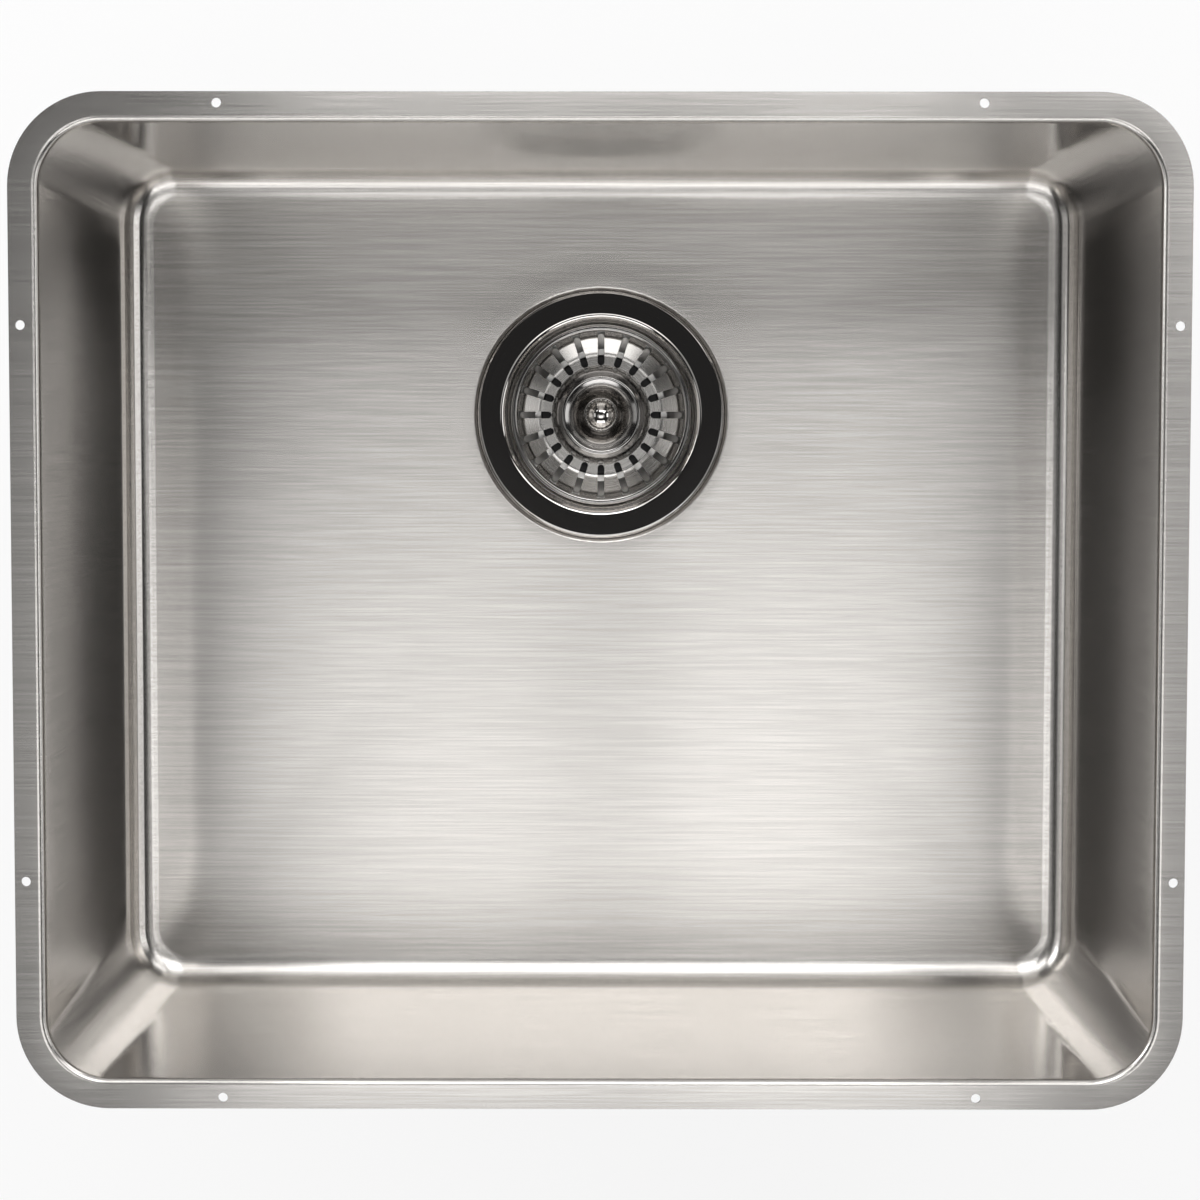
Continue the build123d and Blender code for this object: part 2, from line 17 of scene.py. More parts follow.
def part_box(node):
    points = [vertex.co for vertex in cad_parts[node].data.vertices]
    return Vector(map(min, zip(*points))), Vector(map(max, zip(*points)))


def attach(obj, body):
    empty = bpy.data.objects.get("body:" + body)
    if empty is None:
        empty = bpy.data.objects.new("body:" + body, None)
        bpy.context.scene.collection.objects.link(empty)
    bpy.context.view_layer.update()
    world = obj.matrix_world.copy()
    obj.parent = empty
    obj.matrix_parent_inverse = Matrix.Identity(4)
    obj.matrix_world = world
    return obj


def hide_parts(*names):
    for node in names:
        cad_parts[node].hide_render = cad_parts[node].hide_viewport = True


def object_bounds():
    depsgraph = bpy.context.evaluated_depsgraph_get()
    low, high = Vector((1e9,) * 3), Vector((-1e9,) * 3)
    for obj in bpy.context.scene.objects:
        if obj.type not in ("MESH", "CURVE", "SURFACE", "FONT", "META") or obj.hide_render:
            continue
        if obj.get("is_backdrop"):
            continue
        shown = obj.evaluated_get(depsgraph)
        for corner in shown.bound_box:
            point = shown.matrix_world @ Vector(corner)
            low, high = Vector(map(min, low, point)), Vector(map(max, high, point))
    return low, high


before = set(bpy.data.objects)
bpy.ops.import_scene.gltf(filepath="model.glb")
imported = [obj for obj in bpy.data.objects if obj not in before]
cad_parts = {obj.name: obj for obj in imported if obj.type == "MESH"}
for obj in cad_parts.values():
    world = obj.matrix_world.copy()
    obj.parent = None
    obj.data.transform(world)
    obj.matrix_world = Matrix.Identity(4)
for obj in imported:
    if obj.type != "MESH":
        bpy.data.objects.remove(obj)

log = logging.getLogger("sink")

MM = 0.001
TINY = 1e-6                     # lengths in metres that differ by less are the same
STRAIGHT = 1e-4                 # corners that turn by less, in radians, are straight
SMOOTH_ANGLE = radians(35)      # edges that turn by more stay sharp
FULL_TURN = 2 * pi
ACROSS = 0.25                   # anisotropic rotation in turns: the gloss blurs across the brush lines
Point = tuple[float, float]
Ring = list[tuple[float, float, float]]
Colour = tuple[float, float, float]


class Body(Enum):
    """The rigid bodies that the remade pieces ride on."""

    SINK = "sink"
    BASKET = "basket"


# --------------------------------------------------------------------------- shader graphs


class Value:
    """A shader socket that takes part in Python arithmetic; each operator adds one Math node."""

    def __init__(self, graph: "Graph", socket: bpy.types.NodeSocket) -> None:
        """Wraps one output socket.

        Args:
            graph: The graph that new nodes are added to.
            socket: The output socket to wrap.
        """
        self.graph = graph
        self.socket = socket

    def _math(self, operation: str, *terms: "Number") -> "Value":
        """Adds a Math node.

        Args:
            operation: The node's operation.
            terms: Its inputs, in order.

        Returns:
            The node's result.
        """
        return self.graph.add("ShaderNodeMath", {"operation": operation}, dict(enumerate(terms)))

    def __add__(self, other: "Number") -> "Value":
        """self + other."""
        return self._math("ADD", self, other)

    def __radd__(self, other: "Number") -> "Value":
        """other + self."""
        return self._math("ADD", other, self)

    def __sub__(self, other: "Number") -> "Value":
        """self - other."""
        return self._math("SUBTRACT", self, other)

    def __rsub__(self, other: "Number") -> "Value":
        """other - self."""
        return self._math("SUBTRACT", other, self)

    def __mul__(self, other: "Number") -> "Value":
        """self * other."""
        return self._math("MULTIPLY", self, other)

    def __rmul__(self, other: "Number") -> "Value":
        """other * self."""
        return self._math("MULTIPLY", other, self)

    def __pow__(self, other: "Number") -> "Value":
        """self to the power of other."""
        return self._math("POWER", self, other)

    def __abs__(self) -> "Value":
        """Absolute value."""
        return self._math("ABSOLUTE", self)

    def wave(self) -> "Value":
        """Sine of an angle in radians."""
        return self._math("SINE", self)

    def larger(self, other: "Number") -> "Value":
        """The larger of two numbers."""
        return self._math("MAXIMUM", self, other)

    def ramp(self, low: float, high: float) -> "Value":
        """Smooth step.

        Args:
            low: Where the result is 0.
            high: Where the result is 1; it may be the smaller of the two.

        Returns:
            A number from 0 to 1.
        """
        if high < low:
            return 1 - self.ramp(high, low)
        settings = {"interpolation_type": "SMOOTHSTEP"}
        return self.graph.add("ShaderNodeMapRange", settings, {0: self, 1: low, 2: high})


Number = Union[Value, float, int]


class Graph:
    """The node tree of one material, with the handful of moves that the finishes share."""

    def __init__(self, name: str) -> None:
        """Starts an empty material.

        Args:
            name: The material's name.
        """
        self.material = bpy.data.materials.new(name)
        self.material.use_nodes = True
        self.tree = self.material.node_tree
        self.tree.nodes.clear()

    def add(self, kind: str, settings: dict[str, Any] | None = None,
            sockets: dict[str | int, Any] | None = None, output: str | int = 0) -> Value:
        """Adds any node.

        Args:
            kind: The node's type.
            settings: Properties to set first.
            sockets: Numbers, tuples or Values for its inputs, by name or index.
            output: The output to return.

        Returns:
            The chosen output.
        """
        node = self.tree.nodes.new(kind)
        for key, setting in (settings or {}).items():
            setattr(node, key, setting)
        for key, content in (sockets or {}).items():
            if isinstance(content, Value):
                self.tree.links.new(content.socket, node.inputs[key])
            else:
                node.inputs[key].default_value = content
        return Value(self, node.outputs[output])

    def place(self) -> Value:
        """Position on the piece in metres; the pieces lie in the shared frame."""
        return self.add("ShaderNodeTexCoord", output="Object")

    def split(self, vector: Value) -> tuple[Value, Value, Value]:
        """Splits a vector.

        Args:
            vector: The vector.

        Returns:
            Its X, Y and Z.
        """
        parts = self.add("ShaderNodeSeparateXYZ", sockets={0: vector}).socket.node.outputs
        return Value(self, parts[0]), Value(self, parts[1]), Value(self, parts[2])

    def normal(self) -> tuple[Value, Value, Value]:
        """X, Y and Z of the smooth surface normal."""
        return self.split(self.add("ShaderNodeNewGeometry", output="Normal"))

    def scaled(self, vector: Value, factors: tuple[float, float, float]) -> Value:
        """A vector times three factors."""
        return self.add("ShaderNodeVectorMath", {"operation": "MULTIPLY"}, {0: vector, 1: factors})

    def noise(self, vector: Value, scale: float, detail: float = 2.0, roughness: float = 0.5) -> Value:
        """Perlin noise.

        Args:
            vector: Where to read it.
            scale: Cells per unit.
            detail: Octaves.
            roughness: Weight of the finer octaves.

        Returns:
            A number round 0.5.
        """
        return self.add("ShaderNodeTexNoise", None,
                        {"Vector": vector, "Scale": scale, "Detail": detail, "Roughness": roughness})

    def blend(self, factor: Number, first: Any, second: Any) -> Value:
        """Mixes two colours.

        Args:
            factor: 0 gives the first, 1 the second.
            first: A colour or Value.
            second: A colour or Value.

        Returns:
            The mixed colour.
        """
        def rgba(colour: Any) -> Any:
            """Adds an alpha of 1 to a plain colour."""
            return colour if isinstance(colour, Value) else (*colour, 1.0)
        return self.add("ShaderNodeMix", {"data_type": "RGBA"},
                        {0: factor, 6: rgba(first), 7: rgba(second)}, output=2)

    def bump(self, height: Value, distance: float) -> Value:
        """Bump normal.

        Args:
            height: The surface's height.
            distance: What a height of 1 stands for, in metres.

        Returns:
            The normal.
        """
        return self.add("ShaderNodeBump", None, {"Height": height, "Distance": distance, "Strength": 1.0})

    def principled(self, sockets: dict[str, Any]) -> Value:
        """Adds a Principled shader with the given sockets."""
        return self.add("ShaderNodeBsdfPrincipled", None, sockets)

    def finish(self, shader: Value) -> bpy.types.Material:
        """Connects the shader to a material output.

        Args:
            shader: The finished shader.

        Returns:
            The material.
        """
        node = self.tree.nodes.new("ShaderNodeOutputMaterial")
        self.tree.links.new(shader.socket, node.inputs["Surface"])
        return self.material


# --------------------------------------------------------------------------- finishes


@dataclass(frozen=True)
class BrushedSheet:
    """Inside of the bowl: brushed along X before folding, the corners dressed afterwards."""

    half_width: float               # half of the opening along X
    half_length: float              # half of the opening along Y
    corner_radius: float            # of the upright corners
    colour: Colour = (0.605, 0.584, 0.56)
    line_colour: Colour = (0.495, 0.477, 0.455)
    roughness: float = 0.20
    line_roughness: float = 0.02
    anisotropy: float = 0.97
    corner_roughness: float = 0.22
    corner_anisotropy: float = 0.80
    bow: float = 0.45               # the walls' shading tilts upwards by
    bow_power: float = 1.8          # bow * bow_power * depth ** (bow_power - 1)
    line_scale: float = 1350.0
    line_detail: float = 3.0
    line_grit: float = 0.62         # weight of the finer lines
    line_stretch: float = 0.012     # along the lines, as a share of the scale across them
    line_height: float = 5e-7
    dressed_height: float = 2.5e-7  # of the lines in the dressed corners
    line_range: Point = (0.30, 0.72)
    upright_stretch: float = 0.3
    side_range: Point = (0.55, 0.85)      # X of the normal where the lines turn upright
    cloud_scale: float = 9.0
    cloud_stretch: float = 6.0
    cloud_roughness: float = 0.015
    dressed_reach: float = 1.05     # in corner radii from the wall to where the dressing fades out
    dressed_full: float = 0.45      # share of that reach that is fully dressed

    def lines(self, graph: Graph, place: Value, side: Value) -> Value:
        """Brush lines: along X on the floor and on the front and rear walls, upright on the side walls.

        Args:
            graph: The material's graph.
            place: Position on the bowl.
            side: 1 on the side walls, 0 elsewhere.

        Returns:
            A number round 0.5 that varies across the lines.
        """
        long_x = graph.scaled(place, (self.line_stretch, 1.0, 1.0))
        long_z = graph.scaled(place, (self.upright_stretch, 1.0, self.line_stretch))
        fine = graph.noise(long_x, self.line_scale, self.line_detail, self.line_grit)
        fine_side = graph.noise(long_z, self.line_scale, self.line_detail, self.line_grit)
        return fine * (1 - side) + fine_side * side

    def build(self) -> bpy.types.Material:
        """Makes the material.

        Returns:
            The material.
        """
        graph = Graph("brushed_sheet")
        place = graph.place()
        x, y, z = graph.split(place)
        normal_x, _, _ = graph.normal()
        side = abs(normal_x).ramp(*self.side_range)
        bowed = abs(z) ** self.bow_power * self.bow
        lines = self.lines(graph, place, side)
        long_clouds = graph.scaled(place, (1.0, self.cloud_stretch, self.cloud_stretch))
        clouds = graph.noise(long_clouds, self.cloud_scale)
        tone = graph.blend(lines.ramp(*self.line_range), self.line_colour, self.colour)
        reach = self.corner_radius * self.dressed_reach
        full = reach * self.dressed_full
        corner_x = abs(x).ramp(self.half_width - reach, self.half_width - full)
        corner_y = abs(y).ramp(self.half_length - reach, self.half_length - full)
        corner = corner_x * corner_y
        rough = self.roughness + (lines - 0.5) * self.line_roughness + (clouds - 0.5) * self.cloud_roughness
        straight = graph.principled({
            "Base Color": tone, "Metallic": 1.0, "Roughness": rough, "Anisotropic": self.anisotropy,
            "Anisotropic Rotation": ACROSS, "Normal": graph.bump(bowed + lines * self.line_height, 1.0)})
        dressed = graph.principled({
            "Base Color": tone, "Metallic": 1.0, "Roughness": self.corner_roughness,
            "Anisotropic": self.corner_anisotropy, "Anisotropic Rotation": ACROSS,
            "Normal": graph.bump(bowed + lines * self.dressed_height, 1.0)})
        return graph.finish(graph.add("ShaderNodeMixShader", None, {0: corner, 1: straight, 2: dressed}))


@dataclass(frozen=True)
class MillSheet:
    """Outside of the bowl: dull cold-rolled steel as it leaves the press."""

    colour: Colour = (0.52, 0.515, 0.505)
    worn: Colour = (0.42, 0.415, 0.405)
    roughness: float = 0.42
    cloud_scale: float = 14.0
    cloud_range: Point = (0.35, 0.7)
    cloud_roughness: float = 0.2
    grain_scale: float = 900.0
    grain_stretch: float = 0.15
    grain_roughness: float = 0.06
    grain_height: float = 3e-6

    def build(self) -> bpy.types.Material:
        """Makes the material.

        Returns:
            The material.
        """
        graph = Graph("mill_sheet")
        place = graph.place()
        cloud = graph.noise(place, self.cloud_scale, detail=4.0, roughness=0.6)
        grain = graph.noise(graph.scaled(place, (self.grain_stretch, 1.0, 1.0)), self.grain_scale)
        tone = graph.blend(cloud.ramp(*self.cloud_range), self.worn, self.colour)
        rough = self.roughness + (cloud - 0.5) * self.cloud_roughness + (grain - 0.5) * self.grain_roughness
        return graph.finish(graph.principled({
            "Base Color": tone, "Metallic": 1.0, "Roughness": rough, "Anisotropic": 0.3,
            "Anisotropic Rotation": ACROSS, "Normal": graph.bump(grain, self.grain_height)}))


@dataclass(frozen=True)
class TurnedSteel:
    """Steel with fine concentric lines about the drain axis; a ring of it may be left satin and painted
    lighter than the rest, as painted light.
    """

    name: str
    colour: Colour
    roughness: float
    anisotropy: float = 0.5
    line_height: float = 1.5e-6
    line_scale: float = 2600.0
    line_range: Point = (0.25, 0.75)
    line_shade: float = 0.82           # colour of the lines as a share of the steel's
    line_roughness: float = 0.03
    upright_share: float = 0.7         # how much of a step up counts as a step outwards
    smear: float = 0.12                # share of the roughness that the smudges change
    smear_scale: float = 60.0
    satin_and_painted_light_ring: Point = (0.0, 0.0)     # inner and outer radius of the satin ring
    satin_roughness: float = 0.3
    # painted light: a lighter tone for the satin ring, standing in for the light that it catches
    satin_painted_light: Colour | None = None
    satin_blend: float = 0.4 * MM

    def build(self) -> bpy.types.Material:
        """Makes the material.

        Returns:
            The material.
        """
        graph = Graph(self.name)
        x, y, z = graph.split(graph.place())
        _, _, drain_y = drain_axis()
        across = ((x * x) + (y - drain_y) * (y - drain_y)) ** 0.5
        reach = across + z * self.upright_share
        spot = graph.add("ShaderNodeCombineXYZ", None, {0: reach, 1: 0.0, 2: 0.0})
        lines = graph.noise(spot, self.line_scale, detail=2.0, roughness=0.6)
        smudge = graph.noise(graph.place(), self.smear_scale, detail=3.0, roughness=0.6)
        shade = tuple(channel * self.line_shade for channel in self.colour)
        tone = graph.blend(lines.ramp(*self.line_range), shade, self.colour)
        rough = self.roughness * (1 - self.smear / 2 + smudge * self.smear)
        rough = rough + (lines - 0.5) * self.line_roughness
        inner, outer = self.satin_and_painted_light_ring
        # painted light: the satin ring's mask also lays the lighter painted tone
        if outer > inner:
            satin = across.ramp(outer + self.satin_blend, outer - self.satin_blend)
            if inner > 0:
                satin = satin * across.ramp(inner - self.satin_blend, inner + self.satin_blend)
            rough = rough + satin * (self.satin_roughness - self.roughness)
            if self.satin_painted_light:
                tone = graph.blend(satin, tone, self.satin_painted_light)
        return graph.finish(graph.principled({
            "Base Color": tone, "Metallic": 1.0, "Roughness": rough, "Anisotropic": self.anisotropy,
            "Anisotropic Rotation": ACROSS, "Normal": graph.bump(lines, self.line_height)}))


@dataclass(frozen=True)
class Moulded:
    """Moulded plastic or rubber with a fine grain."""

    name: str
    colour: Colour
    roughness: float
    grain_scale: float = 2500.0
    grain_roughness: float = 0.08
    grain_height: float = 8e-6
    mottle: float = 0.25               # lighter and darker by this share
    mottle_scale: float = 45.0
    mottle_range: Point = (0.3, 0.7)
    mottle_roughness: float = 0.12

    def build(self) -> bpy.types.Material:
        """Makes the material.

        Returns:
            The material.
        """
        graph = Graph(self.name)
        place = graph.place()
        cloud = graph.noise(place, self.mottle_scale, detail=4.0, roughness=0.6)
        grain = graph.noise(place, self.grain_scale)
        light = tuple(min(1.0, channel * (1 + self.mottle)) for channel in self.colour)
        dark = tuple(channel * (1 - self.mottle) for channel in self.colour)
        tone = graph.blend(cloud.ramp(*self.mottle_range), dark, light)
        rough = self.roughness + (cloud - 0.5) * self.mottle_roughness
        rough = rough + (grain - 0.5) * self.grain_roughness
        return graph.finish(graph.principled({
            "Base Color": tone, "Roughness": rough, "Normal": graph.bump(grain, self.grain_height)}))


@dataclass(frozen=True)
class DampingSheet:
    """Glued damping pad: dense rubber with a pressed diamond grid."""

    colour: Colour = (0.085, 0.087, 0.09)
    pale: Colour = (0.13, 0.132, 0.135)
    roughness: float = 0.72
    speck_roughness: float = 0.2
    pitch: float = 7 * MM
    groove: float = 0.25 * MM
    groove_edge: float = 0.35       # sine of the angle where the groove ends
    grid_share: float = 0.85        # of the relief; the specks have the rest
    cloud_share: float = 0.6        # of the tone; the specks have the rest
    speck_scale: float = 1400.0
    cloud_scale: float = 20.0
    cloud_range: Point = (0.3, 0.75)

    def build(self) -> bpy.types.Material:
        """Makes the material.

        Returns:
            The material.
        """
        graph = Graph("damping_sheet")
        place = graph.place()
        x, y, z = graph.split(place)
        turn = FULL_TURN / self.pitch
        first = ((x + y + z) * turn).wave()
        second = ((x - y + z) * turn).wave()
        grid = abs(first).ramp(0.0, self.groove_edge) * abs(second).ramp(0.0, self.groove_edge)
        speck = graph.noise(place, self.speck_scale, detail=3.0, roughness=0.7)
        cloud = graph.noise(place, self.cloud_scale, detail=3.0, roughness=0.6)
        share = cloud.ramp(*self.cloud_range) * self.cloud_share + speck * (1 - self.cloud_share)
        relief = grid * self.grid_share + speck * (1 - self.grid_share)
        return graph.finish(graph.principled({
            "Base Color": graph.blend(share, self.colour, self.pale),
            "Roughness": self.roughness + (speck - 0.5) * self.speck_roughness,
            "Normal": graph.bump(relief, self.groove)}))


# --------------------------------------------------------------------------- mesh helpers


def drain_axis() -> tuple[float, float, float]:
    """Radius of the strainer flange, and x and y of the drain axis, from the frame."""
    low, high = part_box("strainer_cup")
    return (high.x - low.x) / 2, (high.x + low.x) / 2, (high.y + low.y) / 2


def rounded_path(corners: Sequence[Point], radii: Sequence[float],
                 step: float = radians(7.5)) -> list[Point]:
    """Rounds the inner corners of a polyline with true arcs.

    Args:
        corners: The polyline's points.
        radii: One radius for each inner corner; 0 keeps it sharp.
        step: Largest turn between two points of an arc.

    Returns:
        The points of the rounded path.
    """
    path = [corners[0]]
    for before, corner, after, radius in zip(corners, corners[1:], corners[2:], radii):
        come = Vector(corner) - Vector(before)
        leave = Vector(after) - Vector(corner)
        come.normalize()
        leave.normalize()
        turn = acos(max(-1.0, min(1.0, come.dot(leave))))
        if radius <= 0 or turn < STRAIGHT:
            path.append(corner)
            continue
        side = 1.0 if come.x * leave.y - come.y * leave.x > 0 else -1.0
        start = Vector(corner) - come * radius * tan(turn / 2)
        centre = start + Vector((-come.y, come.x)) * side * radius
        count = max(2, ceil(turn / step))
        spoke = start - centre
        for index in range(count + 1):
            angle = side * turn * index / count
            path.append((centre.x + spoke.x * cos(angle) - spoke.y * sin(angle),
                         centre.y + spoke.x * sin(angle) + spoke.y * cos(angle)))
    path.append(corners[-1])
    return path


def thickened(path: Sequence[Point], thickness: float) -> list[Point]:
    """Closed outline of a sheet whose upper face follows a path.

    Args:
        path: Upper face, walked so that the sheet lies on the right.
        thickness: Sheet thickness.

    Returns:
        The upper face followed by the lower face, walked back.
    """
    lower = []
    for index, point in enumerate(path):
        before = path[max(index - 1, 0)]
        after = path[min(index + 1, len(path) - 1)]
        come = Vector(point) - Vector(before) if index else Vector(after) - Vector(point)
        leave = Vector(after) - Vector(point) if index < len(path) - 1 else come
        come.normalize()
        leave.normalize()
        along = (come + leave).normalized()
        stretch = 1 / max(0.5, along.dot(come))
        lower.append((point[0] + along.y * thickness * stretch, point[1] - along.x * thickness * stretch))
    return list(path) + lower[::-1]


def mesh_piece(name: str, vertices: Sequence[Sequence[float]],
               faces: Sequence[Sequence[int]]) -> bpy.types.Object:
    """Makes a linked mesh object with outward normals, smooth but for its sharp edges.

    Args:
        name: The piece's name.
        vertices: Points in metres.
        faces: Loops of vertex numbers.

    Returns:
        The object.
    """
    mesh = bpy.data.meshes.new(name)
    mesh.from_pydata([tuple(v) for v in vertices], [], [tuple(f) for f in faces])
    piece = bpy.data.objects.new(name, mesh)
    bpy.context.scene.collection.objects.link(piece)
    face_outwards(piece)
    soften(piece)
    return piece


def face_outwards(piece: bpy.types.Object) -> None:
    """Turns all faces of a closed mesh outwards.

    Args:
        piece: The mesh's object.
    """
    sheet = bmesh.new()
    sheet.from_mesh(piece.data)
    bmesh.ops.recalc_face_normals(sheet, faces=sheet.faces)
    sheet.to_mesh(piece.data)
    sheet.free()


def soften(piece: bpy.types.Object, smooth_angle: float = SMOOTH_ANGLE) -> None:
    """Smooth shading but for edges that turn by more than the angle."""
    piece.data.shade_smooth()
    piece.data.set_sharp_from_angle(angle=smooth_angle)


def held(path: Sequence[Point], margin: float = 0.25 * MM) -> list[Point]:
    """Adds a point near both ends of the long runs, so that smooth shading keeps them straight.

    Args:
        path: The outline's points.
        margin: Distance of the new points from the ends.

    Returns:
        The outline with the new points.
    """
    points = [path[0]]
    for start, end in zip(path, path[1:]):
        run = Vector(end) - Vector(start)
        if run.length > 6 * margin:
            step = run.normalized() * margin
            points += [tuple(Vector(start) + step), tuple(Vector(end) - step)]
        points.append(end)
    return points


def turned_piece(name: str, outline: Sequence[Point], segments: int = 144) -> bpy.types.Object:
    """Turns a closed (radius, height) outline about the drain axis.

    Args:
        name: The piece's name.
        outline: Closed outline; it may start and end on the axis.
        segments: Steps round the axis.

    Returns:
        The object.
    """
    _, axis_x, axis_y = drain_axis()
    vertices: list[tuple[float, float, float]] = []
    rows: list[list[int]] = []
    for radius, height in outline:
        if radius < TINY:
            rows.append([len(vertices)] * segments)
            vertices.append((axis_x, axis_y, height))
            continue
        rows.append([len(vertices) + step for step in range(segments)])
        for step in range(segments):
            angle = FULL_TURN * step / segments
            vertices.append((axis_x + radius * cos(angle), axis_y + radius * sin(angle), height))
    faces = []
    closed = outline[0][0] > TINY or outline[-1][0] > TINY
    pairs = list(zip(rows, rows[1:])) + ([(rows[-1], rows[0])] if closed else [])
    for first, second in pairs:
        for step in range(segments):
            after = (step + 1) % segments
            loop = [first[step], first[after], second[after], second[step]]
            kept = list(dict.fromkeys(loop))
            if len(kept) > 2:
                faces.append(kept)
    return mesh_piece(name, vertices, faces)


def cut(piece: bpy.types.Object, cutters: Iterable[bpy.types.Object]) -> None:
    """Cuts closed meshes out of a piece, applies the cut and deletes the cutters.

    Args:
        piece: The piece to cut.
        cutters: The meshes to take out of it.
    """
    for cutter in cutters:
        modifier = piece.modifiers.new("cut", "BOOLEAN")
        modifier.operation = "DIFFERENCE"
        modifier.solver = "EXACT"
        modifier.object = cutter
        depsgraph = bpy.context.evaluated_depsgraph_get()
        result = bpy.data.meshes.new_from_object(piece.evaluated_get(depsgraph))
        piece.modifiers.clear()
        old = piece.data
        piece.data = result
        bpy.data.meshes.remove(old)
        bpy.data.objects.remove(cutter)


def prism(name: str, outline: Sequence[Point], low: float, high: float) -> bpy.types.Object:
    """Upright prism over a closed outline.

    Args:
        name: The piece's name.
        outline: The outline in X and Y.
        low: Height of the lower face.
        high: Height of the upper face.

    Returns:
        The object.
    """
    count = len(outline)
    vertices = [(x, y, low) for x, y in outline] + [(x, y, high) for x, y in outline]
    faces: list[list[int]] = [list(range(count))[::-1], list(range(count, 2 * count))]
    for index in range(count):
        after = (index + 1) % count
        faces.append([index, after, after + count, index + count])
    return mesh_piece(name, vertices, faces)


def merged(name: str, pieces: Sequence[bpy.types.Object]) -> bpy.types.Object:
    """Joins meshes that don't touch into one object.

    Args:
        name: The new object's name.
        pieces: The objects to join; they are deleted.

    Returns:
        The new object.
    """
    vertices: list[Vector] = []
    faces: list[list[int]] = []
    for piece in pieces:
        start = len(vertices)
        vertices += [v.co.copy() for v in piece.data.vertices]
        faces += [[start + i for i in polygon.vertices] for polygon in piece.data.polygons]
        bpy.data.objects.remove(piece)
    return mesh_piece(name, vertices, faces)


# --------------------------------------------------------------------------- bowl


